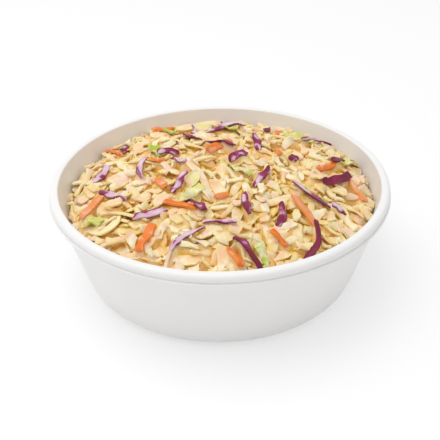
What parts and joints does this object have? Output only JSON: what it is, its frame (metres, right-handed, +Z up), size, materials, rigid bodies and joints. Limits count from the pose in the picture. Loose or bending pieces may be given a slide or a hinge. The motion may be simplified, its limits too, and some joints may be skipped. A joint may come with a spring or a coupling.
{
  "type": "bowl of coleslaw",
  "caption": "Round white moulded bowl with a rolled rim, heaped with creamy coleslaw of shredded white and red cabbage, carrot and green leaf.",
  "frame": {"origin": "centre of the foot ring, on the surface the bowl stands on", "axes": "+Z up through the middle of the bowl; -Y is the side the heap is seen from; the salad lies lower along the wall on -X"},
  "size_m": [0.1502, 0.1502, 0.0511],
  "materials": {
    "bowl": "white moulded plastic, satin gloss",
    "coleslaw": "shredded vegetables in creamy dressing, moist soft gloss"
  },
  "bodies": {
    "root": {"bowl": "bowl", "coleslaw": "coleslaw"}
  },
  "joints": []
}
